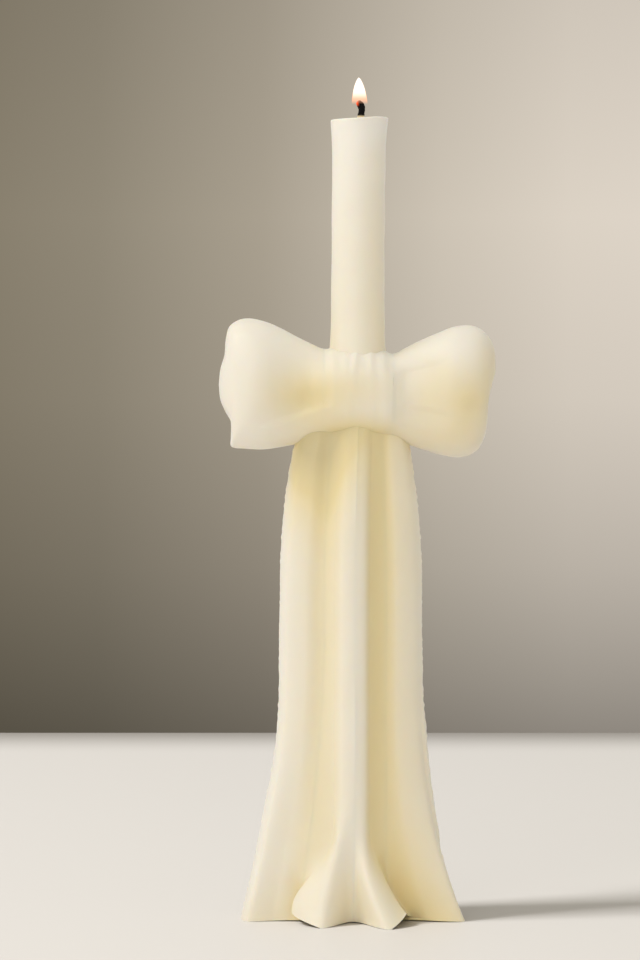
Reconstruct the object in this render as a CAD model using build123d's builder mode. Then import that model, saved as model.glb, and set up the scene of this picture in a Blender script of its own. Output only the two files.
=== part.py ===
from build123d import *

# Bow candle: a wax taper with a wax ribbon tied round it, whose tails and drapes form the foot.
# Millimetres, +Z up, the wick on the Z axis, the flat foot on z = 0, the front facing -Y.
# The wax members meet face to face, and the wick runs through the whole taper.

import os
from math import cos, radians, sin

os.makedirs("parts", exist_ok=True)

# Overall
wax_height = 300.0
bow_height = 197.0  # middle of the knot

# Taper
root_radius = 10.3  # from the foot to the top of the knot
waist_radius = 9.9  # halfway up the bare shaft
lip_radius = 10.7  # at the burning end
lip_length = 16.0
lip_bevel = 0.5
dish_depth = 0.7  # melt pool round the wick

# Wick
wick_radius = 1.15
wick_clearance = 0.03
wick_rise = 3.6  # straight length above the melt pool
wick_bend_radius = 2.6
wick_bend_angle = 55.0
wick_tip = 0.6

# Knot
knot_wrap = 5.4  # wax over the taper at the front and back of the knot
knot_half_height = 15.0
knot_half_width = 13.2
knot_end_taper = 3.0
knot_pleats = 5
pleat_depth = 0.8

# Loops, as stations along X: share of the reach, rise over the bow's middle, drop under it, half depth
loop_root_width = 6.0  # from the wick to where both loops start, inside the knot
loop_root_size = (10.0, 12.0)
loop_tip_fillet = 1.2
left_reach = 51.9
left_stations = (
    (0.25, 16.6, 14.6, 11.4),
    (0.46, 22.2, 18.0, 13.4),
    (0.66, 26.6, 20.4, 14.8),
    (0.84, 28.1, 20.6, 14.0),
    (0.93, 25.4, 18.2, 10.8),
    (1.0, 13.0, 6.0, 5.0),
)
right_reach = 51.4
right_stations = (
    (0.25, 15.6, 15.0, 11.4),
    (0.46, 20.4, 20.4, 13.4),
    (0.66, 24.4, 23.4, 14.8),
    (0.84, 25.7, 22.8, 14.0),
    (0.93, 23.2, 18.8, 10.8),
    (1.0, 13.6, 4.0, 5.0),
)

# Skirt
tuck = 6.0  # how far the skirt's top reaches up inside the knot and the loops
hip_height = 112.0  # the straightest part, below which the skirt flares
flare_power = 2.4
hem_heights = (0.0, 8.0, 18.0, 32.0, 52.0, 80.0)
waist_shares = (0.0, 0.12, 0.3, 0.5, 0.75, 1.0)  # of the way from the hip to the waist
cut_width = 80.0  # wider and deeper than any fold

# Fold lines of the skirt's front, from left to right: at the waist, at the hip and at the hem, each as
# (degrees from +X towards the front, wax outside the taper)
left_side = ((180, 7.7), (180, 19.0), (183, 32.4))
front_folds = (
    ((159, 6.2), (161, 17.6), (167, 32.1)),
    ((134, 2.0), (137, 6.3), (165, 11.8)),
    ((105, 1.1), (107, 8.7), (119, 18.6)),
    ((88, 1.3), (98, 9.5), (99, 2.1)),
    ((73, 1.2), (91, 8.1), (68, 20.0)),
    ((46, 1.6), (46, 4.7), (23, 11.0)),
    ((24, 3.8), (22, 13.3), (16, 30.9)),
)
right_side = ((0, 4.7), (0, 13.9), (-3, 28.4))
left_valley = front_folds[1]
centre_line = front_folds[3]
right_valley = front_folds[5]

# Fits and places worked out from the sizes above
bore_radius = wick_radius + wick_clearance
pool_height = wax_height - dish_depth
knot_half_depth = root_radius + knot_wrap
knot_top = bow_height + knot_half_height
waist_height = bow_height - knot_half_height + tuck
stations = list(hem_heights)
stations += [hip_height + share * (waist_height - hip_height) for share in waist_shares]


def fold_point(fold, height):
    """The (x, y) of a fold line, which swells from the waist to the hip and flares below it."""
    if height > hip_height:
        ends = (1, 0)
        share = ((height - hip_height) / (waist_height - hip_height)) ** 3
    else:
        ends = (1, 2)
        share = (1 - height / hip_height) ** flare_power
    x, y = [], []
    for end in ends:
        turn, over = fold[end]
        x.append((root_radius + over) * cos(radians(turn)))
        y.append(-(root_radius + over) * sin(radians(turn)))
    return (x[0] + (x[1] - x[0]) * share, y[0] + (y[1] - y[0]) * share)


def skirt_outline(height):
    """The closed outline at one height, through the front's folds and their mirror images."""
    front = [fold_point(fold, height) for fold in front_folds]
    back = [(x, -y) for x, y in reversed(front)]
    return [fold_point(left_side, height), *front, fold_point(right_side, height), *back]


# Taper, first as a plain core that its neighbours are cut to
with BuildPart() as taper_core:
    with BuildSketch(Plane.XZ):
        with BuildLine():
            foot = Line((0, 0), (root_radius, 0))
            root = Line(foot @ 1, (root_radius, knot_top))
            shaft = Spline(
                root @ 1,
                (waist_radius, (knot_top + wax_height) / 2),
                (waist_radius + 0.1, wax_height - lip_length),
                (lip_radius, wax_height - lip_bevel),
            )
            bevel = Line(shaft @ 1, (lip_radius - lip_bevel, wax_height))
            dish_middle = (lip_radius / 2, wax_height - 0.8 * dish_depth)
            dish = ThreePointArc(bevel @ 1, dish_middle, (0, pool_height))
            Line(dish @ 1, foot @ 0)
        make_face()
    revolve(axis=Axis.Z)

with BuildPart() as taper:
    add(taper_core.part)
    with BuildSketch():
        Circle(bore_radius)
    extrude(amount=wax_height, mode=Mode.SUBTRACT)

# Wick, from the foot up through the taper, with its burnt end bent over to the left
with BuildPart() as wick:
    with BuildLine(Plane.XZ):
        stem = Line((0, 0), (0, pool_height + wick_rise))
        bend = JernArc(stem @ 1, (0, 1), wick_bend_radius, wick_bend_angle)
        Line(bend @ 1, bend @ 1 + wick_tip * (bend % 1))
    with BuildSketch():
        Circle(wick_radius)
    sweep()

# Knot, a pleated band round the taper: sections along X that swell between the pleats
with BuildPart() as knot_core:
    for step in range(2 * knot_pleats + 1):
        share = step / knot_pleats - 1
        shrink = knot_end_taper * share**4 + pleat_depth * (step % 2)
        with BuildSketch(Plane.YZ.offset(share * knot_half_width)):
            with Locations((0, bow_height)):
                Ellipse(knot_half_depth - shrink, knot_half_height - shrink)
    loft()

with BuildPart() as knot:
    add(knot_core.part)
    add(taper_core.part, mode=Mode.SUBTRACT)


def make_loop(side, reach, sections):
    """A puffed loop on side -1 or +1 of the knot, cut to the knot and to the taper."""
    with BuildPart() as loop:
        with BuildSketch(Plane.YZ.offset(side * loop_root_width)):
            with Locations((0, bow_height)):
                Ellipse(*loop_root_size)
        for share, rise, drop, half_depth in sections:
            with BuildSketch(Plane.YZ.offset(side * share * reach)):
                with Locations((0, bow_height + (rise - drop) / 2)):
                    Ellipse(half_depth, (rise + drop) / 2)
        loft()
        tip = loop.faces().sort_by(Axis((0, 0, 0), (side, 0, 0)))[-1]
        fillet(tip.edges(), loop_tip_fillet)
        add(knot_core.part, mode=Mode.SUBTRACT)
        add(taper_core.part, mode=Mode.SUBTRACT)
    return loop


left_loop = make_loop(-1, left_reach, left_stations)
right_loop = make_loop(1, right_reach, right_stations)

# Skirt, lofted whole and cut to what it hangs from, then divided along its valleys
with BuildPart() as skirt:
    for height in stations:
        with BuildSketch(Plane.XY.offset(height)):
            with BuildLine():
                Spline(*skirt_outline(height), periodic=True)
            make_face()
    loft()
    for neighbour in (taper_core, knot_core, left_loop, right_loop):
        add(neighbour.part, mode=Mode.SUBTRACT)


def make_fold(left, right, front=True, back=True):
    """The skirt between two fold lines, or from one to the outside, in front of the middle or behind."""
    rear = -cut_width if back else 0
    with BuildPart() as fold:
        with BuildSketch(Plane.XZ.offset(rear)):
            with BuildLine():
                sides = []
                for line, outside in ((left, -cut_width), (right, cut_width)):
                    if line is None:
                        sides.append(Line((outside, 0), (outside, waist_height)))
                    else:
                        sides.append(Spline(*[(fold_point(line, z)[0], z) for z in stations]))
                for end in (0, 1):
                    Line(sides[0] @ end, sides[1] @ end)
            make_face()
        extrude(amount=(cut_width if front else 0) - rear)
        add(skirt.part, mode=Mode.INTERSECT)
    return fold


pieces = {
    "taper": taper,
    "wick": wick,
    "knot": knot,
    "left_loop": left_loop,
    "right_loop": right_loop,
    "left_drape": make_fold(None, left_valley),
    "front_left_tail": make_fold(left_valley, centre_line, back=False),
    "front_right_tail": make_fold(centre_line, right_valley, back=False),
    "right_drape": make_fold(right_valley, None),
    "back_left_tail": make_fold(left_valley, centre_line, front=False),
    "back_right_tail": make_fold(centre_line, right_valley, front=False),
}
for name, piece in pieces.items():
    piece.part.label = name
    export_step(piece.part, f"parts/{name}.step")
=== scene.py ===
from math import pi, radians

import bmesh
import bpy
import numpy as np
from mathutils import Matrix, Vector


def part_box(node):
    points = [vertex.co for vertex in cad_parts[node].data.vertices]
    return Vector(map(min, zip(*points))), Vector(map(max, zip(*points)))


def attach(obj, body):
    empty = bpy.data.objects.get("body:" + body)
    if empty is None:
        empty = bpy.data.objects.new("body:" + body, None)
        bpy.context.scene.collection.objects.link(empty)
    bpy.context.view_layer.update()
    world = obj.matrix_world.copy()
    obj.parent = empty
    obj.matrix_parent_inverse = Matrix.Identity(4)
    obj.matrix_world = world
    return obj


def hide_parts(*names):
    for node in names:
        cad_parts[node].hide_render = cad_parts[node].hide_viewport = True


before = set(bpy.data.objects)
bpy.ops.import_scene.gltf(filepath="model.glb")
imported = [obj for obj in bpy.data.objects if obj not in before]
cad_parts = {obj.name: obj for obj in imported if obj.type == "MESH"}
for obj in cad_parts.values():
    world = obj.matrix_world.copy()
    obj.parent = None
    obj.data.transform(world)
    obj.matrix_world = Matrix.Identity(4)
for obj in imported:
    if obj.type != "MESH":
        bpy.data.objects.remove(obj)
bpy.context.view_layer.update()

mm = 0.001  # shapes are worked out in millimetres
# heights that the shapes are placed by, from the frame: the top of the wax and the middle of the bow
waxTop = round(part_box("taper")[1][2] / mm, 2)
bowMiddle = round((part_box("knot")[0][2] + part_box("knot")[1][2]) / 2 / mm, 2)


# Smooth line through set points: cubic Hermite, each slope taken from the two neighbours
def lineThrough(places, values, at):
    places, values, at = np.asarray(places, float), np.asarray(values, float), np.asarray(at, float)
    slopes = np.gradient(values, places)
    i = np.clip(np.searchsorted(places, at, side="right") - 1, 0, len(places) - 2)
    width = places[i + 1] - places[i]
    t = (at - places[i]) / width
    return ((1 + 2 * t) * (1 - t) ** 2 * values[i] + t * (1 - t) ** 2 * width * slopes[i]
            + t * t * (3 - 2 * t) * values[i + 1] - t * t * (1 - t) * width * slopes[i + 1])


# Eased step: 0 before start, 1 after end, 3t^2 - 2t^3 between
def ease(at, start, end):
    t = np.clip((at - start) / (end - start), 0, 1)
    return t * t * (3 - 2 * t)


# Bell curve of the given half width
def bell(at, centre, width):
    return np.exp(-((at - centre) / width) ** 2)


# Rounded ramp: log(1 + e^x), flat before zero and straight after it
def roundedRamp(x):
    return np.logaddexp(0, x)


# Gentle unevenness: eight sine waves in seeded random directions, added up to about -1..1
def unevenness(points, waveLength, seed):
    rng = np.random.default_rng(seed)
    total = 0
    for wave in range(8):
        way = rng.normal(size=3)
        way *= 2 * pi / (waveLength * rng.uniform(0.6, 1.4)) / np.linalg.norm(way)
        total = total + np.sin(points @ way + rng.uniform(0, 2 * pi))
    return total / 4


# Closed mesh from rings of points (row, point round the ring, xyz in mm). Neighbouring rings are joined by
# quads, and each end is closed by a strip that joins every point to the one across the ring. paintedShade
# gives each point how much shade is painted on its wax. Edges that run along edgeColumns are always sharp.
def meshFromRings(name, rings, material, sharpAngle=50, paintedShade=None, edgeColumns=()):
    rows, cols = rings.shape[:2]
    row = np.arange(rows - 1)[:, None] * cols
    here, after = np.arange(cols), (np.arange(cols) + 1) % cols
    quads = row + here, row + after, row + cols + after, row + cols + here
    sides = np.stack(np.broadcast_arrays(*quads), -1)
    half = np.arange(cols // 2 - 1)
    across = np.stack([half + 1, half, cols - 1 - half, cols - 2 - half], -1)
    faces = np.concatenate([sides.reshape(-1, 4), across, across[:, ::-1] + (rows - 1) * cols])
    points = rings.reshape(-1, 3)
    corners = points[faces]
    # the volume under all faces tells whether they point outwards
    volume = (np.cross(corners[:, 0], corners[:, 1]) * corners[:, 2]).sum()
    volume += (np.cross(corners[:, 0], corners[:, 2]) * corners[:, 3]).sum()
    if volume < 0:
        faces = faces[:, ::-1]
    mesh = bpy.data.meshes.new(name)
    mesh.from_pydata((points * mm).tolist(), [], faces.tolist())
    if paintedShade is not None:
        depths = mesh.attributes.new("paintedShade", "FLOAT", "POINT")
        depths.data.foreach_set("value", paintedShade.ravel().astype(np.float32))
    border = np.zeros((rows, cols), np.int32)  # 0 inside, else the number of the edge column
    border[:, list(edgeColumns)] = np.array(edgeColumns, np.int32) + 1
    mesh.attributes.new("border", "INT", "POINT").data.foreach_set("value", border.ravel())
    piece = bpy.data.objects.new(name, mesh)
    bpy.context.scene.collection.objects.link(piece)
    tidied = bmesh.new()
    tidied.from_mesh(mesh)
    bmesh.ops.remove_doubles(tidied, verts=tidied.verts, dist=0.004 * mm)
    bmesh.ops.dissolve_degenerate(tidied, edges=tidied.edges, dist=0.002 * mm)
    tidied.to_mesh(mesh)
    tidied.free()
    mesh.shade_smooth()
    mesh.set_sharp_from_angle(angle=radians(sharpAngle))
    ends = np.empty(len(mesh.edges) * 2, np.int32)
    border = np.empty(len(mesh.vertices), np.int32)
    sharp = np.empty(len(mesh.edges), bool)
    mesh.edges.foreach_get("vertices", ends)
    mesh.edges.foreach_get("use_edge_sharp", sharp)
    mesh.attributes["border"].data.foreach_get("value", border)
    first, second = border[ends[0::2]], border[ends[1::2]]
    mesh.edges.foreach_set("use_edge_sharp", sharp | ((first > 0) & (first == second)))
    mesh.materials.append(material)
    return piece


# Hands a piece over to the frame: on the one body, hiding its CAD node if it has one
def placePiece(piece, node):
    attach(piece, "root")
    if node:
        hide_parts(node)
    print("made", piece.name, len(piece.data.polygons), "faces")


def newNode(tree, kind, **values):
    node = tree.nodes.new(kind)
    for key, value in values.items():
        setattr(node, key, value)
    return node


# Colour ramp from (position, colour or grey) pairs
def setStops(ramp, stops):
    elements = ramp.color_ramp.elements
    while len(elements) < len(stops):
        elements.new(0.5)
    for element, (position, value) in zip(elements, stops):
        element.position = position
        element.color = (*value, 1) if isinstance(value, tuple) else (value, value, value, 1)


# Shared group: cloudy colour of cast wax with painted shade: a warmer colour, standing in for light that
# sinks into a hollow, where ambient occlusion finds one and where the painted shade attribute asks, and
# darker past 1
def waxColourGroup():
    group = bpy.data.node_groups.new("waxColourWithShade", "ShaderNodeTree")
    for name, kind, side in (("Ivory", "NodeSocketColor", "INPUT"), ("ShadeTint", "NodeSocketColor", "INPUT"),
                             ("Cloud", "NodeSocketFloat", "INPUT"), ("Depth", "NodeSocketFloat", "INPUT"),
                             ("PaintedShade", "NodeSocketFloat", "INPUT"),
                             ("Colour", "NodeSocketColor", "OUTPUT")):
        group.interface.new_socket(name, in_out=side, socket_type=kind)
    inside = newNode(group, "NodeGroupInput")
    out = newNode(group, "NodeGroupOutput")
    place = newNode(group, "ShaderNodeTexCoord")
    clouds = newNode(group, "ShaderNodeTexNoise")
    clouds.inputs["Scale"].default_value = 38
    clouds.inputs["Detail"].default_value = 3
    occlusion = newNode(group, "ShaderNodeAmbientOcclusion", samples=8)
    occlusion.inputs["Distance"].default_value = 0.022
    paintedShade = newNode(group, "ShaderNodeMapRange")  # painted shade from ambient occlusion, open surface to deep hollow
    paintedShade.inputs["From Min"].default_value = 0.97
    paintedShade.inputs["From Max"].default_value = 0.42
    deepen = newNode(group, "ShaderNodeMath", operation="MULTIPLY")
    centred = newNode(group, "ShaderNodeMath", operation="SUBTRACT")
    centred.inputs[1].default_value = 0.5
    cloudy = newNode(group, "ShaderNodeMath", operation="MULTIPLY")
    deeper = newNode(group, "ShaderNodeMath", operation="ADD")
    both = newNode(group, "ShaderNodeMath", operation="ADD", use_clamp=True)
    blend = newNode(group, "ShaderNodeMix", data_type="RGBA")
    shadeDarkening = newNode(group, "ShaderNodeMapRange")  # painted shade: past 1 the shade only gets darker
    shadeDarkening.inputs["From Min"].default_value = 0.8
    shadeDarkening.inputs["From Max"].default_value = 2.0
    shadeDarkening.inputs["To Max"].default_value = 0.22
    darken = newNode(group, "ShaderNodeMix", data_type="RGBA", blend_type="MULTIPLY")
    darken.inputs["B"].default_value = (0, 0, 0, 1)
    link = group.links.new
    link(place.outputs["Object"], clouds.inputs["Vector"])
    link(occlusion.outputs["AO"], paintedShade.inputs["Value"])
    link(paintedShade.outputs[0], deepen.inputs[0])
    link(inside.outputs["Depth"], deepen.inputs[1])
    link(clouds.outputs["Fac"], centred.inputs[0])
    link(centred.outputs[0], cloudy.inputs[0])
    link(inside.outputs["Cloud"], cloudy.inputs[1])
    link(deepen.outputs[0], deeper.inputs[0])
    link(inside.outputs["PaintedShade"], deeper.inputs[1])
    link(deeper.outputs[0], both.inputs[0])
    link(cloudy.outputs[0], both.inputs[1])
    link(both.outputs[0], blend.inputs["Factor"])
    link(inside.outputs["Ivory"], blend.inputs["A"])
    link(inside.outputs["ShadeTint"], blend.inputs["B"])
    link(inside.outputs["PaintedShade"], shadeDarkening.inputs["Value"])
    link(shadeDarkening.outputs[0], darken.inputs["Factor"])
    link(blend.outputs["Result"], darken.inputs["A"])
    link(darken.outputs["Result"], out.inputs["Colour"])
    return group


# Shared group: fine marks of a moulded surface, as a height and a change of roughness
def castMarksGroup():
    group = bpy.data.node_groups.new("castMarks", "ShaderNodeTree")
    for name, side in (("Dents", "INPUT"), ("Grain", "INPUT"), ("Shine", "INPUT"),
                       ("Height", "OUTPUT"), ("Roughness", "OUTPUT")):
        group.interface.new_socket(name, in_out=side, socket_type="NodeSocketFloat")
    inside = newNode(group, "NodeGroupInput")
    out = newNode(group, "NodeGroupOutput")
    place = newNode(group, "ShaderNodeTexCoord")
    dents = newNode(group, "ShaderNodeTexNoise")
    dents.inputs["Scale"].default_value = 170
    dents.inputs["Detail"].default_value = 2
    grain = newNode(group, "ShaderNodeTexNoise")
    grain.inputs["Scale"].default_value = 1500
    grain.inputs["Detail"].default_value = 3
    scaledDents = newNode(group, "ShaderNodeMath", operation="MULTIPLY")
    scaledGrain = newNode(group, "ShaderNodeMath", operation="MULTIPLY")
    height = newNode(group, "ShaderNodeMath", operation="ADD")
    shine = newNode(group, "ShaderNodeMapRange")
    shine.inputs["From Min"].default_value = 0.3
    shine.inputs["From Max"].default_value = 0.7
    rougher = newNode(group, "ShaderNodeMath", operation="ADD")
    rougher.inputs[1].default_value = 0.14
    link = group.links.new
    link(place.outputs["Object"], dents.inputs["Vector"])
    link(place.outputs["Object"], grain.inputs["Vector"])
    link(dents.outputs["Fac"], scaledDents.inputs[0])
    link(inside.outputs["Dents"], scaledDents.inputs[1])
    link(grain.outputs["Fac"], scaledGrain.inputs[0])
    link(inside.outputs["Grain"], scaledGrain.inputs[1])
    link(scaledDents.outputs[0], height.inputs[0])
    link(scaledGrain.outputs[0], height.inputs[1])
    link(height.outputs[0], out.inputs["Height"])
    link(dents.outputs["Fac"], shine.inputs["Value"])
    link(inside.outputs["Shine"], shine.inputs["To Min"])
    link(inside.outputs["Shine"], rougher.inputs[0])
    link(rougher.outputs[0], shine.inputs["To Max"])
    link(shine.outputs[0], out.inputs["Roughness"])
    return group


waxColourWithShade = waxColourGroup()
castMarks = castMarksGroup()

# ivory is the wax's own colour; the warmer second colour is the painted shade colour, and depth scales the
# painted shade from ambient occlusion
wax = {
    "ivory": (0.845, 0.80, 0.70, 1), "shadeTint": (0.79, 0.67, 0.38, 1),
    "cloud": 0.2, "depth": 0.33, "shine": 0.36, "dents": 0.6, "grain": 0.15, "bump": 0.25,
    "glow": 0.35, "glowReach": (0.0009, 0.0006, 0.0003),
}


def waxMaterial(name, values):
    material = bpy.data.materials.new(name)
    material.use_nodes = True
    tree = material.node_tree
    surface = tree.nodes["Principled BSDF"]
    colour = newNode(tree, "ShaderNodeGroup", node_tree=waxColourWithShade)
    colour.inputs["Ivory"].default_value = values["ivory"]
    colour.inputs["ShadeTint"].default_value = values["shadeTint"]
    colour.inputs["Cloud"].default_value = values["cloud"]
    colour.inputs["Depth"].default_value = values["depth"]
    # painted shade for each point, read from the mesh attribute
    shadeAttribute = newNode(tree, "ShaderNodeAttribute", attribute_name="paintedShade")
    tree.links.new(shadeAttribute.outputs["Fac"], colour.inputs["PaintedShade"])
    marks = newNode(tree, "ShaderNodeGroup", node_tree=castMarks)
    marks.inputs["Dents"].default_value = values["dents"]
    marks.inputs["Grain"].default_value = values["grain"]
    marks.inputs["Shine"].default_value = values["shine"]
    bump = newNode(tree, "ShaderNodeBump")
    bump.inputs["Strength"].default_value = values["bump"]
    bump.inputs["Distance"].default_value = 0.0006
    link = tree.links.new
    link(colour.outputs["Colour"], surface.inputs["Base Color"])
    link(marks.outputs["Roughness"], surface.inputs["Roughness"])
    link(marks.outputs["Height"], bump.inputs["Height"])
    link(bump.outputs["Normal"], surface.inputs["Normal"])
    surface.inputs["IOR"].default_value = 1.44
    surface.inputs["Subsurface Weight"].default_value = values["glow"]
    surface.inputs["Subsurface Radius"].default_value = values["glowReach"]
    surface.inputs["Subsurface Scale"].default_value = 1.0
    surface.subsurface_method = "RANDOM_WALK"
    return material


ribbonWax = waxMaterial("ribbonWax", wax)
shaftWax = waxMaterial("shaftWax", {**wax, "ivory": (0.865, 0.83, 0.755, 1), "dents": 0.4})
print("wax materials ready")


skirt = {
    "waist": bowMiddle - 9.0, "hip": 112.0, "waistEase": 2.4, "coreRadius": 10.2, "hemFade": 8.0,
    "denseTop": 50.0, "rowsBelow": 190, "rowsAbove": 210, "pointsPerFold": 16,
    "waves": 0.22, "dimples": 0.07, "flash": 0.3, "chips": 3, "chipTop": (4, 12),
    # heights, and for the edge a depth, between which the joint and the second layer rise or fade
    "jointHeight": 0.16, "highJoint": (136, 160), "lowJoint": (52, 64), "lowJointEnd": (80, 100),
    "layerStep": 1.1, "layerEdge": (-5.0, -4.0), "layerFoot": (26, 34), "layerTop": (60, 90),
}
# Each fold line of the front: (x, y) at the waist, the hip and the hem. flare and kick say where the x and
# the y start to leave the hip, where they stop, and how softly. lift raises the hem off the table, round
# sets how wide the fold turns, and paintedShade how much shade is painted on the wax at the waist, the hip
# and the hem (at the waist it includes the bow's painted shadow).
leftFlare, rightFlare = (68, -60, 10), (38, -60, 18)
foldLines = [
    {"at": ((-21.5, 0.0), (-29.3, 0.0), (-43.4, 3.0)), "flare": leftFlare, "kick": leftFlare,
     "lift": 0.2, "round": 1.0, "paintedShade": (1.2, 0.0, 0.0)},  # left side
    {"at": ((-18.0, -6.6), (-26.4, -9.0), (-41.4, -9.6)), "flare": leftFlare, "kick": leftFlare,
     "lift": 0.0, "round": 0.8, "paintedShade": (3.4, 0.05, 0.0)},  # left drape's corner
    {"at": ((-13.4, -8.6), (-19.6, -11.0), (-31.0, -8.8)), "flare": leftFlare, "kick": leftFlare,
     "lift": 0.3, "round": 1.0, "paintedShade": (3.6, 0.25, 0.15)},  # left drape's face
    {"at": ((-9.0, -8.8), (-12.6, -11.2), (-22.0, -10.6)), "flare": (76, -60, 10), "kick": (50, -60, 10),
     "lift": 0.6, "round": 1.1, "paintedShade": (3.2, 0.6, 0.5)},  # valley beside the left tail
    {"at": ((-5.2, -10.4), (-8.8, -14.0), (-24.6, -13.0)), "flare": (29, 8, 2.2), "kick": (24, 4, 3),
     "lift": 4.4, "round": 0.35, "paintedShade": (2.2, 0.45, 0.15)},  # left tail's hem corner
    {"at": ((-3.0, -11.4), (-5.8, -17.3), (-13.8, -25.8)), "flare": (40, 2, 4), "kick": (18, -60, 4),
     "lift": 0.0, "round": 1.0, "paintedShade": (2.0, 0.2, 0.05)},  # left tail's crest
    {"at": ((0.4, -11.8), (-0.9, -17.8), (-1.9, -12.6)), "flare": (48, 0, 4), "kick": (34, -60, 4),
     "lift": 0.5, "round": 1.0, "paintedShade": (1.5, 0.1, 0.1)},  # middle line
    {"at": ((3.4, -11.4), (2.2, -16.6), (12.2, -28.4)), "flare": (19, -60, 3), "kick": (26, -60, 4),
     "lift": 0.0, "round": 1.2, "paintedShade": (1.3, 0.25, 0.1)},  # right tail's crest
    {"at": ((5.8, -10.2), (4.6, -13.2), (18.0, -20.0)), "flare": (28, -60, 3), "kick": (24, -60, 4),
     "lift": 4.6, "round": 0.8, "paintedShade": (1.1, 0.9, 0.5)},  # right tail's hem corner
    {"at": ((8.8, -8.8), (10.6, -10.2), (20.0, -7.6)), "flare": (12, -60, 3), "kick": (50, -60, 10),
     "lift": 1.6, "round": 1.0, "paintedShade": (1.2, 0.85, 0.85)},  # valley beside the right tail
    {"at": ((12.0, -7.8), (14.4, -11.0), (26.0, -10.0)), "flare": (50, -60, 10), "kick": (50, -60, 10),
     "lift": 0.6, "round": 0.95, "paintedShade": (0.7, 0.5, 0.75)},  # right drape's face
    {"at": ((14.8, -6.0), (21.2, -7.6), (39.6, -9.8)), "flare": rightFlare, "kick": rightFlare,
     "lift": 0.0, "round": 0.8, "paintedShade": (0.5, 0.3, 0.35)},  # right drape's corner
    {"at": ((17.5, 0.0), (24.2, 0.0), (38.8, 2.0)), "flare": rightFlare, "kick": rightFlare,
     "lift": 0.2, "round": 1.0, "paintedShade": (0.4, 0.2, 0.25)},  # right side
]


# Share of the way from the hip to the hem: a rounded ramp from start to stop, scaled to reach 1 at z = 0
def flareShare(z, start, stop, softness):
    def ramp(h):
        return roundedRamp((start - h) / softness) - roundedRamp((stop - h) / softness)
    return (ramp(z) - ramp(skirt["hip"])) / (ramp(0.0) - ramp(skirt["hip"]))


# One fold line from the waist to the hip and out to the hem: x, y and painted shade for each height
def foldLine(fold, z):
    values = [np.append(place, depth) for place, depth in zip(fold["at"], fold["paintedShade"])]
    waist, hip, hem = np.array(values)
    above = np.clip((z - skirt["hip"]) / (skirt["waist"] - skirt["hip"]), 0, 1) ** skirt["waistEase"]
    line = []
    # the painted shade fades faster than the shape below the waist
    for axis, way, faster in ((0, "flare", 1), (1, "kick", 1), (2, "kick", 1.35)):
        below = flareShare(z, *fold[way]) * (z < skirt["hip"])
        line.append(hip[axis] + (waist[axis] - hip[axis]) * above**faster + (hem[axis] - hip[axis]) * below)
    return np.stack(line, -1)


# The ring of fold lines at every height: the front ones, then their mirror images at the back
ringFolds = foldLines + foldLines[-2:0:-1]


def foldCage(z):
    front = np.stack([foldLine(fold, z) for fold in foldLines], 1)
    back = front[:, -2:0:-1] * (1, -1, 1)
    return np.concatenate([front, back], 1)


# Surface of the skirt between two fold lines: in each row a Hermite curve from fold to fold, whose slopes
# follow the chord lengths, shortened where a fold is tight. The last value of a point is its painted shade.
def skirtSheet(first, last, z, perFold):
    cage = foldCage(z)
    count = cage.shape[1]
    roundness = np.array([fold["round"] for fold in ringFolds])[None, :, None]
    chord = np.roll(cage, -1, 1) - cage
    length = np.linalg.norm(chord[..., :2], axis=-1, keepdims=True) + 1e-6
    before, lengthBefore = np.roll(chord, 1, 1), np.roll(length, 1, 1)
    slope = before / lengthBefore * length + chord / length * lengthBefore
    slope = slope / (length + lengthBefore) * roundness
    lift = np.array([fold["lift"] for fold in ringFolds])
    columns, lifts = [], []
    t = np.linspace(0, 1, perFold + 1)
    for k in range(first, last):
        a, b = k % count, (k + 1) % count
        u = t[:-1] if k < last - 1 else t
        u3 = u[None, :, None]
        p0, p1 = cage[:, a, None], cage[:, b, None]
        m0, m1 = slope[:, a, None] * length[:, a, None], slope[:, b, None] * length[:, a, None]
        columns.append((1 + 2 * u3) * (1 - u3) ** 2 * p0 + u3 * (1 - u3) ** 2 * m0
                       + u3 * u3 * (3 - 2 * u3) * p1 - u3 * u3 * (1 - u3) * m1)
        lifts.append(lift[a] + (lift[b] - lift[a]) * u)
    sheet, lifts = np.concatenate(columns, 1), np.concatenate(lifts)[None]
    rise = lifts * np.exp(-z[:, None] / skirt["hemFade"])
    points = np.concatenate([sheet[..., :2], (z[:, None] + rise)[..., None]], -1)
    return points, np.clip(sheet[..., 2], 0, 2)


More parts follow.
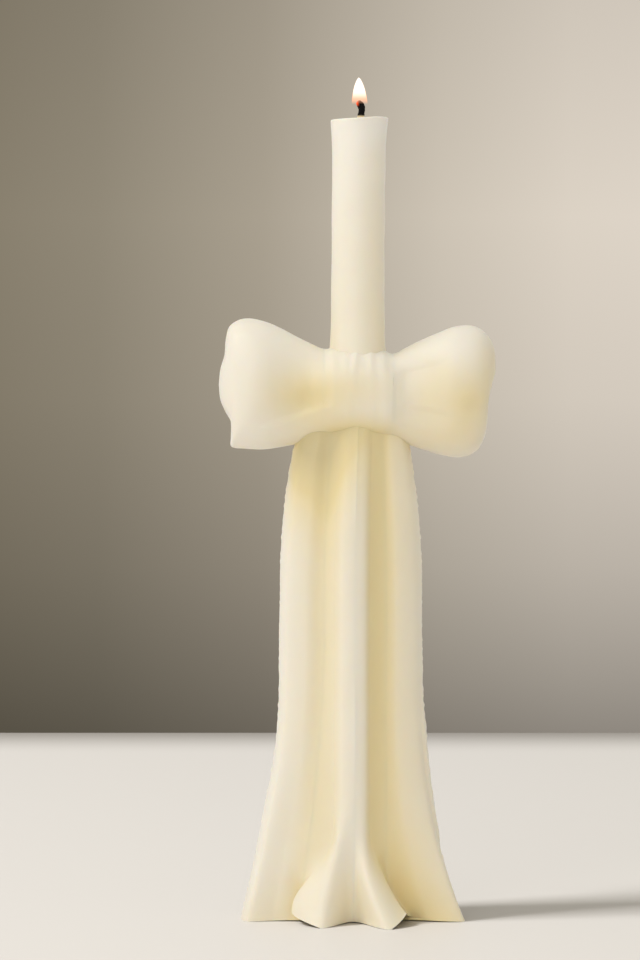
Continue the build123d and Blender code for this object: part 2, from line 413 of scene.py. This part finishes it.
# Piece of the skirt: the outer sheet, back along the taper's core, closed at the waist and at the hem
def skirtPiece(name, node, first, last):
    below = np.linspace(0, skirt["denseTop"], skirt["rowsBelow"])[:-1]
    z = np.concatenate([below, np.linspace(skirt["denseTop"], skirt["waist"], skirt["rowsAbove"])])
    outer, paintedShade = skirtSheet(first, last, z, skirt["pointsPerFold"])
    outward = outer * (1, 1, 0)
    outward /= np.linalg.norm(outward, axis=-1, keepdims=True)
    # broken flash along the mould's parting line on both sides, chipped at the right hem corner
    raised = bell(outer[..., 1], 0, 0.6) * skirt["flash"]
    raised = raised * np.maximum(unevenness(outer * (0, 0, 1), 3.5, 8), 0)
    raised *= 1 + skirt["chips"] * (outer[..., 0] > 0) * (1 - ease(z, *skirt["chipTop"]))[:, None]
    # the two tails meet in a fine raised line along the rib
    lowJoint = ease(z, *skirt["lowJoint"]) * (1 - ease(z, *skirt["lowJointEnd"]))
    joint = ease(z, *skirt["highJoint"]) + lowJoint
    middle = foldLine(foldLines[6], z)[:, :1]
    raised += skirt["jointHeight"] * bell(outer[..., 0], middle, 0.7) * joint[:, None]
    # a thin second layer shows past the right drape's front layer
    layer = ease(outer[..., 1], *skirt["layerEdge"]) * ease(-outer[..., 1], *skirt["layerEdge"])
    layer = layer * (outer[..., 0] > 0)
    layer = layer * ease(outer[..., 2], *skirt["layerFoot"]) * (1 - ease(outer[..., 2], *skirt["layerTop"]))
    raised += skirt["layerStep"] * layer
    raised += skirt["waves"] * unevenness(outer, 26, 3) + skirt["dimples"] * unevenness(outer, 9, 4)
    outer += outward * raised[..., None]
    core = outer * (1, 1, 0)
    core = core / np.linalg.norm(core, axis=-1, keepdims=True) * skirt["coreRadius"]
    core[..., 2] = z[:, None]
    rings = np.concatenate([outer, core[:, ::-1]], 1)
    paintedShade = np.concatenate([paintedShade, paintedShade[:, ::-1]], 1)
    count = rings.shape[1]
    corners = (0, count // 2 - 1, count // 2, count - 1)
    piece = meshFromRings(name, rings, ribbonWax, 50, paintedShade, corners)
    placePiece(piece, node)


around = len(ringFolds)  # fold k and fold around - k are mirror images
skirtPiece("leftDrape", "left_drape", -3, 3)
skirtPiece("frontLeftTail", "front_left_tail", 3, 6)
skirtPiece("frontRightTail", "front_right_tail", 6, 9)
skirtPiece("rightDrape", "right_drape", 9, around - 9)
skirtPiece("backRightTail", "back_right_tail", around - 9, around - 6)
skirtPiece("backLeftTail", "back_left_tail", around - 6, around - 3)


# Left loop, knot and right loop are slices of one surface. Its stations run from the left tip to the right
# tip: (x, z) of the top line, (x, z) of the bottom line, x of the middle line, half depth. Every z in the
# bow is counted from its middle.
bowStations = (
    (-51.9, 3.5, -51.9, 3.5, -51.9, 0.0),
    (-51.3, 9.0, -51.3, -2.0, -51.4, 4.4),
    (-49.7, 14.6, -49.4, -6.6, -50.2, 8.2),
    (-49.3, 20.0, -47.3, -10.6, -48.2, 11.2),
    (-48.0, 24.9, -47.4, -16.1, -45.6, 13.4),
    (-44.6, 27.5, -47.2, -19.6, -42.0, 14.9),
    (-40.3, 28.1, -43.0, -20.5, -38.0, 15.6),
    (-35.0, 27.1, -36.0, -20.7, -33.5, 15.2),
    (-29.5, 24.9, -30.0, -20.0, -28.5, 13.8),
    (-23.5, 22.0, -24.0, -19.0, -23.0, 12.6),
    (-17.5, 19.1, -18.5, -17.7, -18.0, 12.6),
    (-12.5, 17.0, -13.0, -16.6, -12.8, 14.2),
    (-8.0, 17.4, -8.0, -16.4, -8.0, 15.7),
    (0.0, 18.0, 0.0, -16.8, 0.0, 16.2),
    (8.0, 16.8, 8.0, -16.4, 8.0, 15.9),
    (13.2, 15.2, 13.4, -16.8, 13.3, 14.6),
    (18.0, 17.4, 18.5, -18.8, 18.0, 12.8),
    (23.0, 20.0, 24.0, -20.8, 23.5, 12.8),
    (29.0, 22.6, 30.0, -22.5, 29.0, 14.0),
    (35.5, 25.0, 36.5, -23.6, 35.0, 15.2),
    (41.0, 25.8, 42.0, -22.8, 40.5, 15.0),
    (45.4, 24.7, 46.0, -19.4, 45.0, 13.6),
    (48.8, 21.8, 48.2, -13.0, 48.0, 11.0),
    (50.7, 18.2, 48.0, -5.5, 49.4, 8.0),
    (51.5, 14.0, 49.2, 1.8, 50.8, 4.2),
    (51.6, 8.6, 51.6, 8.6, 51.6, 0.0),
)
bow = {
    "leftSeam": 11, "rightSeam": 15, "rowsPerStation": 14, "pointsRound": 288,
    "fullness": 2.25, "knotFullness": 2.5,  # 2 is an ellipse, more is boxier
    "knotMiddle": 0.5, "knotWidth": 13, "waves": 0.22, "dimples": 0.06,
    "lip": 0.35, "lipStart": (5, 12.4), "lipEnd": (12.6, 14.4), "lipFoot": (-14, -8), "lipTop": (8, 14),
    "creases": (  # from (x, z) to (x, z), depth, width above and below
        ((-38.0, -11.4), (-9.0, -1.5), 0.9, 6.0, 1.8),
        ((14.4, 6.6), (34.0, 12.0), 0.5, 1.7, 4.5),
        ((14.4, -4.8), (34.0, -8.4), 0.55, 1.7, 4.5),
    ),
    "paintedShadeSpots": (  # x, z, half widths and depth of painted shade: warmer, darker patches where the bow's hollows and shade fall
        (-19, -1, 13, 11, 0.9), (-33, 1, 8, 12, 0.12), (0, -14, 16, 6, 0.95), (0, 2, 14, 8, 0.45),
        (41, -3, 9, 10, 0.85), (35, -16, 13, 7, 0.5), (25, -7, 9, 9, 0.3), (50, 9, 6, 12, 0.5),
        (27, 1, 8, 8, 0.3), (30, 9, 10, 6, 0.25),
    ),
    "knotPleats": (  # x at the top, slant, height, half width
        (-9.6, 0.6, 0.35, 2.0),
        (-4.6, 0.4, 0.3, 1.6),
        (-0.6, 2.0, 0.5, 1.3),
        (4.7, -0.4, 0.5, 1.4),
        (9.6, -0.8, 0.45, 1.5),
    ),
}


# How far a crease pulls the surface in: a bell across the line, narrow on one side, fading at its ends
def creaseDepth(x, z, start, end, depth, above, below):
    along = (x - start[0]) / (end[0] - start[0])
    off = z - (start[1] + (end[1] - start[1]) * along)
    across = np.exp(-((off / np.where(off > 0, above, below)) ** 2))
    return depth * across * ease(along, -0.15, 0.2) * (1 - ease(along, 0.6, 1.15))


# Point of the bow for a station number s and an angle v round the X axis (0 front, 90 up): the top, bottom
# and middle lines give x and z, the half depth gives y, on a superellipse
def bowSurface(s, v):
    numbers = np.arange(len(bowStations))
    topX, topZ, bottomX, bottomZ, middleX, depth = (
        lineThrough(numbers, column, s)[:, None] for column in np.array(bowStations).T)
    topZ = topZ + bowMiddle
    bottomZ = bottomZ + bowMiddle
    knotness = bell(middleX, bow["knotMiddle"], bow["knotWidth"])
    power = 2 / (bow["fullness"] + (bow["knotFullness"] - bow["fullness"]) * knotness)
    up, out = np.sin(v)[None], np.cos(v)[None]
    upShape = np.sign(up) * np.abs(up) ** power
    outShape = np.sign(out) * np.abs(out) ** power
    middleZ = (topZ + bottomZ) / 2
    x = middleX * out**2 + np.where(up > 0, topX, bottomX) * up**2
    z = middleZ + upShape * (topZ - bottomZ) / 2
    reach = np.maximum(depth, 0)
    front = np.abs(outShape)
    for crease in bow["creases"]:
        reach = reach - creaseDepth(x, z - bowMiddle, *crease) * front
    # the knot's right edge stands proud of the right loop
    lip = bow["lip"] * ease(middleX, *bow["lipStart"]) * (1 - ease(x, *bow["lipEnd"]))
    lip = lip * ease(z - bowMiddle, *bow["lipFoot"]) * (1 - ease(z - bowMiddle, *bow["lipTop"]))
    reach = reach + lip
    pleats = 0
    upper = ease(up, 0.15, 0.8)
    for pleatX, slant, height, width in bow["knotPleats"]:
        pleats = pleats + height * bell(x, pleatX + slant * (up - 0.9), width)
    pleats = pleats * (0.25 + 0.75 * upper) * knotness
    y = -outShape * (reach + pleats)
    z = z + upShape * pleats
    points = np.stack([x, y, z], -1)
    tall = (topZ - bottomZ) / 2
    outward = np.stack([0 * x, y / (depth + 1) ** 2, (z - middleZ) / (tall + 1) ** 2], -1)
    outward /= np.linalg.norm(outward, axis=-1, keepdims=True) + 1e-9
    raised = bow["waves"] * unevenness(points, 24, 11) + bow["dimples"] * unevenness(points, 8, 12)
    return points + outward * raised[..., None]


def bowPiece(name, node, firstStation, lastStation):
    s = np.linspace(firstStation, lastStation, (lastStation - firstStation) * bow["rowsPerStation"] + 1)
    v = (np.arange(bow["pointsRound"]) + 0.5) / bow["pointsRound"] * 2 * pi
    rings = bowSurface(s, v)
    # painted shade summed from the spots
    paintedShade = sum(depth * bell(rings[..., 0], x, wide) * bell(rings[..., 2] - bowMiddle, z, tall)
                 for x, z, wide, tall, depth in bow["paintedShadeSpots"])
    piece = meshFromRings(name, rings, ribbonWax, 60, paintedShade)
    placePiece(piece, node)


bowPiece("leftLoop", "left_loop", 0, bow["leftSeam"])
bowPiece("knotBand", "knot", bow["leftSeam"], bow["rightSeam"])
bowPiece("rightLoop", "right_loop", bow["rightSeam"], len(bowStations) - 1)


taper = {
    "knotTop": bowMiddle + 14, "denseFrom": bowMiddle - 1, "sideTop": waxTop - 0.6,
    "radiusAt": ((0, bowMiddle - 1, bowMiddle + 9, bowMiddle + 19, bowMiddle + 39,
                  waxTop - 38, waxTop - 20, waxTop - 10, waxTop - 4, waxTop - 0.6),
                 (10.2, 10.25, 10.3, 10.2, 9.95, 9.9, 9.95, 10.15, 10.45, 10.75)),
    "leanAt": ((0, bowMiddle + 3, bowMiddle + 43, waxTop - 30, waxTop), (0.0, 0.0, 0.1, 0.3, 0.7)),
    # painted shade along the shaft: warmer low down, none at the rim; the streak is painted shade on one
    # side
    "paintedShadeAt": ((0, bowMiddle - 1, waxTop - 50, waxTop - 15, waxTop), (0.3, 0.25, 0.22, 0.06, 0.0)),
    "shadeStreak": 0.15, "shadeStreakTurn": 5.45, "rimBevel": 0.45, "poolDepth": 1.0, "pointsRound": 176,
    "flareHeight": 0.9, "flareFade": 3.2, "waves": 0.12,
    "rimTilt": 0.036, "humpHeight": 0.3, "humpPlace": 6.5, "humpWidth": 4.5,
}


# Profile carried round the axis: up the side, over the bevelled rim and down into the melt pool
def taperPiece():
    turn = np.linspace(0, 2 * pi, taper["pointsRound"], endpoint=False)
    buried = np.linspace(0, taper["denseFrom"], 12)[:-1]
    side = np.concatenate([buried, np.linspace(taper["denseFrom"], taper["sideTop"], 240)])
    radius = lineThrough(*taper["radiusAt"], side)
    corner = np.linspace(0, pi / 2, 6)[1:]
    bevel = taper["rimBevel"]
    rim = radius[-1] - bevel * (1 - np.cos(corner))
    rimZ = taper["sideTop"] + bevel * np.sin(corner)
    inward = np.linspace(1, 0, 16)[1:]
    pool = rim[-1] * inward
    poolZ = rimZ[-1] - taper["poolDepth"] * (1 - inward**2) * ease(1 - inward, 0, 0.35)
    r = np.concatenate([radius, rim, pool])[:, None]
    z = np.concatenate([side, rimZ, poolZ])[:, None]
    # the foot of the bare shaft swells into the knot
    swelling = np.exp(-np.maximum(z - taper["knotTop"], 0) / taper["flareFade"])
    r = r + taper["flareHeight"] * swelling * (z > bowMiddle - 7) * (z < bowMiddle + 43)
    x = r * np.cos(turn)
    y = r * np.sin(turn)
    # the rim tilts, and melts unevenly into a hump on one side
    hump = taper["humpHeight"] * bell(x, taper["humpPlace"], taper["humpWidth"])
    slant = taper["rimTilt"] * x + hump - taper["humpHeight"]
    slant = slant * ease(z, waxTop - 8, taper["sideTop"])
    lean = lineThrough(*taper["leanAt"], np.minimum(z, waxTop))
    points = np.stack([x + lean, y, z + slant], -1)
    outward = np.stack(np.broadcast_arrays(np.cos(turn), np.sin(turn), 0 * z), -1)
    points += outward * (taper["waves"] * unevenness(points, 22, 21) * (z < waxTop - 1))[..., None]
    # painted shade: a warmer streak runs down the shaft's front-right side, away from the key light
    shadeStreak = taper["shadeStreak"] * bell(turn, taper["shadeStreakTurn"], 0.6) * (1 - ease(z, waxTop - 16, waxTop - 3))
    paintedShade = lineThrough(*taper["paintedShadeAt"], np.minimum(z, waxTop)) + shadeStreak
    piece = meshFromRings("taperShaft", points, shaftWax, 60, paintedShade)
    placePiece(piece, "taper")


taperPiece()


wick = {
    "path": ((0, 0, 0), (0, 0, waxTop / 2), (0.5, 0, waxTop - 10), (1.0, 0, waxTop - 1.4),
             (1.3, 0, waxTop + 1.4), (1.5, 0, waxTop + 3.2), (1.15, -0.1, waxTop + 4.5),
             (0.4, -0.2, waxTop + 5.2), (-0.5, -0.2, waxTop + 5.5)),
    "radius": 1.25, "pointsRound": 40, "wind": 1.1, "tipLength": 0.9,
    "strand": 0.2, "thread": 0.05,  # how far the strands and their threads stand out, of the radius
    "char": (0.004, 0.0035, 0.0035), "waxed": (0.80, 0.66, 0.42), "ember": (1.0, 0.10, 0.02, 1),
}


# Tube along the path: each ring stands square to the path's slope, with two fat strands that wind round it
def wickPiece():
    path = np.array(wick["path"], float)
    stops = np.concatenate([[0], np.cumsum(np.linalg.norm(np.diff(path, axis=0), axis=1))])
    along = np.concatenate([np.linspace(0, stops[3], 30)[:-1], np.linspace(stops[3], stops[-1], 90)])
    centre = np.stack([lineThrough(stops, path[:, axis], along) for axis in range(3)], -1)
    ahead = np.gradient(centre, axis=0)
    ahead /= np.linalg.norm(ahead, axis=1, keepdims=True)
    side = np.cross(ahead, (0, -1, 0))
    side /= np.linalg.norm(side, axis=1, keepdims=True)
    depth = np.cross(side, ahead)
    turn = np.linspace(0, 2 * pi, wick["pointsRound"], endpoint=False)[None]
    wind = along[:, None] * wick["wind"]
    strands = 0.86 + wick["strand"] * np.abs(np.cos(turn + wind * 0.6))
    strands = strands + wick["thread"] * np.sin(6 * turn - wind * 5)
    tipRound = np.sqrt(np.clip((stops[-1] - along) / wick["tipLength"], 0, 1))[:, None]
    r = wick["radius"] * strands * (0.15 + 0.85 * tipRound)
    rings = centre[:, None] + (r * np.cos(turn))[..., None] * side[:, None]
    rings = rings + (r * np.sin(turn))[..., None] * depth[:, None]
    material = bpy.data.materials.new("burntWick")
    material.use_nodes = True
    tree = material.node_tree
    surface = tree.nodes["Principled BSDF"]
    place = newNode(tree, "ShaderNodeTexCoord")
    split = newNode(tree, "ShaderNodeSeparateXYZ")
    burn = newNode(tree, "ShaderNodeValToRGB")  # waxed cotton below, char above
    setStops(burn, ((0.35, wick["waxed"]), (0.5, wick["char"])))
    height = newNode(tree, "ShaderNodeMapRange")
    height.inputs["From Min"].default_value = (waxTop - 1.5) * mm
    height.inputs["From Max"].default_value = (waxTop + 3.5) * mm
    # the ember glows towards the bent end
    tip = newNode(tree, "ShaderNodeMapRange", interpolation_type="SMOOTHSTEP")
    tip.inputs["From Min"].default_value = 0.0008
    tip.inputs["From Max"].default_value = -0.0006
    top = newNode(tree, "ShaderNodeMapRange")
    top.inputs["From Min"].default_value = (waxTop + 4) * mm
    top.inputs["From Max"].default_value = (waxTop + 5) * mm
    glowing = newNode(tree, "ShaderNodeMath", operation="MULTIPLY")
    ember = newNode(tree, "ShaderNodeMix", data_type="RGBA")
    ember.inputs["A"].default_value = (0, 0, 0, 1)
    ember.inputs["B"].default_value = wick["ember"]
    fibres = newNode(tree, "ShaderNodeTexNoise")
    fibres.inputs["Scale"].default_value = 2600
    bump = newNode(tree, "ShaderNodeBump")
    bump.inputs["Strength"].default_value = 0.5
    bump.inputs["Distance"].default_value = 0.0002
    link = tree.links.new
    link(place.outputs["Object"], split.inputs[0])
    link(place.outputs["Object"], fibres.inputs["Vector"])
    link(split.outputs["Z"], height.inputs["Value"])
    link(height.outputs[0], burn.inputs["Fac"])
    link(burn.outputs["Color"], surface.inputs["Base Color"])
    link(split.outputs["X"], tip.inputs["Value"])
    link(split.outputs["Z"], top.inputs["Value"])
    link(tip.outputs[0], glowing.inputs[0])
    link(top.outputs[0], glowing.inputs[1])
    link(glowing.outputs[0], ember.inputs["Factor"])
    link(ember.outputs["Result"], surface.inputs["Emission Color"])
    link(fibres.outputs["Fac"], bump.inputs["Height"])
    link(bump.outputs["Normal"], surface.inputs["Normal"])
    surface.inputs["Emission Strength"].default_value = 1.3
    surface.inputs["Roughness"].default_value = 0.9
    surface.inputs["Specular IOR Level"].default_value = 0.15
    piece = meshFromRings("burntWick", rings, material, 60)
    placePiece(piece, "wick")


wickPiece()

flame = {
    "foot": (0.75, 0.0, waxTop + 4.6), "height": 10.3, "lean": -0.35,
    "radiusAt": ((0, 0.08, 0.18, 0.3, 0.45, 0.6, 0.75, 0.88, 0.96, 1.0),
                 (2.6, 2.9, 2.85, 2.65, 2.4, 2.05, 1.55, 0.95, 0.45, 0.0)),
    "white": (1.0, 0.93, 0.82), "peach": (1.0, 0.50, 0.30), "rim": (1.0, 0.40, 0.16, 1),
    "strength": 1.5,
}


# Teardrop: a radius for each share of the height, leaning as it rises
def flamePiece():
    share = np.linspace(0, 1, 70)[:, None]
    turn = np.linspace(0, 2 * pi, 48, endpoint=False)[None]
    r = np.maximum(lineThrough(*flame["radiusAt"], share), 0)
    foot = flame["foot"]
    x = foot[0] + flame["lean"] * share + r * np.cos(turn)
    y = foot[1] + r * np.sin(turn)
    z = foot[2] + flame["height"] * share + 0 * turn
    material = bpy.data.materials.new("candleFlame")
    material.use_nodes = True
    tree = material.node_tree
    surface = tree.nodes["Principled BSDF"]
    place = newNode(tree, "ShaderNodeTexCoord")
    split = newNode(tree, "ShaderNodeSeparateXYZ")
    height = newNode(tree, "ShaderNodeMapRange")
    height.inputs["From Min"].default_value = foot[2] * mm
    height.inputs["From Max"].default_value = (foot[2] + flame["height"]) * mm
    colour = newNode(tree, "ShaderNodeValToRGB")  # peach foot, white body
    setStops(colour, ((0.22, flame["peach"]), (0.52, flame["white"])))
    clear = newNode(tree, "ShaderNodeValToRGB")  # the foot fades out
    setStops(clear, ((0.04, 0.0), (0.46, 1.0)))
    edge = newNode(tree, "ShaderNodeLayerWeight")
    edgeShare = newNode(tree, "ShaderNodeMapRange")
    edgeShare.inputs["From Min"].default_value = 0.55
    edgeShare.inputs["To Max"].default_value = 0.8
    rimmed = newNode(tree, "ShaderNodeMix", data_type="RGBA")
    rimmed.inputs["B"].default_value = flame["rim"]
    link = tree.links.new
    link(place.outputs["Object"], split.inputs[0])
    link(split.outputs["Z"], height.inputs["Value"])
    link(height.outputs[0], colour.inputs["Fac"])
    link(height.outputs[0], clear.inputs["Fac"])
    link(edge.outputs["Facing"], edgeShare.inputs["Value"])
    link(edgeShare.outputs[0], rimmed.inputs["Factor"])
    link(colour.outputs["Color"], rimmed.inputs["A"])
    link(rimmed.outputs["Result"], surface.inputs["Emission Color"])
    link(clear.outputs["Color"], surface.inputs["Alpha"])
    surface.inputs["Base Color"].default_value = (0, 0, 0, 1)
    surface.inputs["Specular IOR Level"].default_value = 0
    surface.inputs["Emission Strength"].default_value = flame["strength"]
    piece = meshFromRings("flame", np.stack([x, y, z], -1), material, 180)
    piece.visible_shadow = False
    placePiece(piece, None)


flamePiece()
print("candle built")


table = {
    "left": -1300, "right": 1300, "near": -1500, "far": 643, "thick": 30, "bevel": 6,
    "colour": (0.419, 0.393, 0.35, 1), "farShadeColour": (0.09, 0.075, 0.055, 1),
}


# Rounded slab: a rectangle that shrinks over quarter circles at its top edge
def tableTop():
    corner = np.linspace(0, pi / 2, 7)
    bevel, thick = table["bevel"], table["thick"]
    insets = np.concatenate([[bevel, 0, 0], bevel * (1 - np.cos(corner[1:]))])
    levels = np.concatenate([[-thick, bevel - thick, -bevel], bevel * (np.sin(corner[1:]) - 1)])
    across = np.array([(table["left"], table["near"]), (table["right"], table["near"]),
                       (table["right"], table["far"]), (table["left"], table["far"])], float)
    middle = across.mean(0)
    rings = np.stack([np.concatenate([across - np.sign(across - middle) * inset, np.full((4, 1), level)], 1)
                      for inset, level in zip(insets, levels)])
    material = bpy.data.materials.new("paleTable")
    material.use_nodes = True
    tree = material.node_tree
    surface = tree.nodes["Principled BSDF"]
    place = newNode(tree, "ShaderNodeTexCoord")
    split = newNode(tree, "ShaderNodeSeparateXYZ")
    # painted shade: the top darkens towards its far edge
    far = newNode(tree, "ShaderNodeMapRange", interpolation_type="SMOOTHSTEP")
    far.inputs["From Min"].default_value = 0.54
    far.inputs["From Max"].default_value = 0.68
    colour = newNode(tree, "ShaderNodeMix", data_type="RGBA")
    colour.inputs["A"].default_value = table["colour"]
    colour.inputs["B"].default_value = table["farShadeColour"]
    grain = newNode(tree, "ShaderNodeTexNoise")
    grain.inputs["Scale"].default_value = 900
    bump = newNode(tree, "ShaderNodeBump")
    bump.inputs["Strength"].default_value = 0.15
    bump.inputs["Distance"].default_value = 0.0003
    link = tree.links.new
    link(place.outputs["Object"], split.inputs[0])
    link(split.outputs["Y"], far.inputs["Value"])
    link(far.outputs[0], colour.inputs["Factor"])
    link(colour.outputs["Result"], surface.inputs["Base Color"])
    link(place.outputs["Object"], grain.inputs["Vector"])
    link(grain.outputs["Fac"], bump.inputs["Height"])
    link(bump.outputs["Normal"], surface.inputs["Normal"])
    surface.inputs["Roughness"].default_value = 0.55
    surface.inputs["Specular IOR Level"].default_value = 0.3
    meshFromRings("table", rings, material, 30)


tableTop()

backdrop = {
    "across": ((0.0, (0.24, 0.207, 0.150)), (0.19, (0.285, 0.25, 0.188)), (0.42, (0.40, 0.352, 0.278)),
               (0.67, (0.615, 0.552, 0.462)), (0.85, (0.715, 0.645, 0.555)), (1.0, (0.735, 0.665, 0.58))),
    "up": ((0.0, 0.33), (0.10, 0.48), (0.24, 0.68), (0.45, 0.90), (0.68, 1.0), (1.0, 0.85)),
    "roomLight": (1.0, 0.975, 0.925, 1), "roomStrength": 0.70,
}


# Background for the camera: a soft pool of light high on the right. Everything else sees an even room.
def backdropWorld():
    world = bpy.data.worlds.new("studioBackdrop")
    bpy.context.scene.world = world
    world.use_nodes = True
    tree = world.node_tree
    tree.nodes.clear()
    place = newNode(tree, "ShaderNodeTexCoord")
    split = newNode(tree, "ShaderNodeSeparateXYZ")
    acrossView = newNode(tree, "ShaderNodeMapRange")
    acrossView.inputs["From Min"].default_value = -0.09
    acrossView.inputs["From Max"].default_value = 0.09
    upView = newNode(tree, "ShaderNodeMapRange")
    upView.inputs["From Min"].default_value = -0.115
    upView.inputs["From Max"].default_value = 0.085
    across = newNode(tree, "ShaderNodeValToRGB")
    setStops(across, backdrop["across"])
    up = newNode(tree, "ShaderNodeValToRGB")
    setStops(up, backdrop["up"])
    shaded = newNode(tree, "ShaderNodeMix", data_type="RGBA", blend_type="MULTIPLY")
    shaded.inputs["Factor"].default_value = 1
    seen = newNode(tree, "ShaderNodeBackground")
    room = newNode(tree, "ShaderNodeBackground")
    room.inputs["Color"].default_value = backdrop["roomLight"]
    room.inputs["Strength"].default_value = backdrop["roomStrength"]
    path = newNode(tree, "ShaderNodeLightPath")
    mix = newNode(tree, "ShaderNodeMixShader")
    out = newNode(tree, "ShaderNodeOutputWorld")
    link = tree.links.new
    link(place.outputs["Generated"], split.inputs[0])
    link(split.outputs["X"], acrossView.inputs["Value"])
    link(split.outputs["Z"], upView.inputs["Value"])
    link(acrossView.outputs[0], across.inputs[0])
    link(upView.outputs[0], up.inputs[0])
    link(across.outputs["Color"], shaded.inputs["A"])
    link(up.outputs["Color"], shaded.inputs["B"])
    link(shaded.outputs["Result"], seen.inputs["Color"])
    link(path.outputs["Is Camera Ray"], mix.inputs[0])
    link(room.outputs[0], mix.inputs[1])
    link(seen.outputs[0], mix.inputs[2])
    link(mix.outputs[0], out.inputs[0])


backdropWorld()

softboxes = {  # size in metres, power in watts
    "keyLight": {"place": (-2.7, -0.84, 3.2), "size": 1.2, "power": 39,
                 "colour": (1.0, 0.98, 0.94), "aim": (0, 0, 0.12)},
    "frontLight": {"place": (-0.9, -2.1, 1.4), "size": 1.6, "power": 14,
                   "colour": (1.0, 0.98, 0.94), "aim": (0, 0, 0.15)},
    "tableLight": {"place": (-4.0, -1.25, 4.3), "size": 1.25, "power": 500,
                   "colour": (1.0, 1.025, 1.11), "aim": (0, 0, 0)},
}


# Turns a lamp or the camera at a place so that it looks at its aim
def lookAt(thing, place, aim):
    thing.location = place
    thing.rotation_euler = (Vector(aim) - Vector(place)).to_track_quat("-Z", "Y").to_euler()
    bpy.context.scene.collection.objects.link(thing)


for name, box in softboxes.items():
    light = bpy.data.lights.new(name, "AREA")
    light.shape = "SQUARE"
    light.size = box["size"]
    light.energy = box["power"]
    light.color = box["colour"]
    lamp = bpy.data.objects.new(name, light)
    lookAt(lamp, box["place"], box["aim"])
    lamp.visible_camera = False
    if name == "tableLight":  # deepens the shadow on the table without touching the wax
        lamp.light_linking.receiver_collection = bpy.data.collections.new("tableOnly")
        lamp.light_linking.receiver_collection.objects.link(bpy.data.objects["table"])

camera = {"place": (-0.01406, -1.480, 0.232), "aim": (-0.01406, 0, 0.1648), "lens": 148.45}
optics = bpy.data.cameras.new("camera")
optics.lens = camera["lens"]
optics.sensor_width = 36
eye = bpy.data.objects.new("camera", optics)
lookAt(eye, camera["place"], camera["aim"])
bpy.context.scene.camera = eye
bpy.context.scene.view_settings.view_transform = "Standard"
print("stage ready")
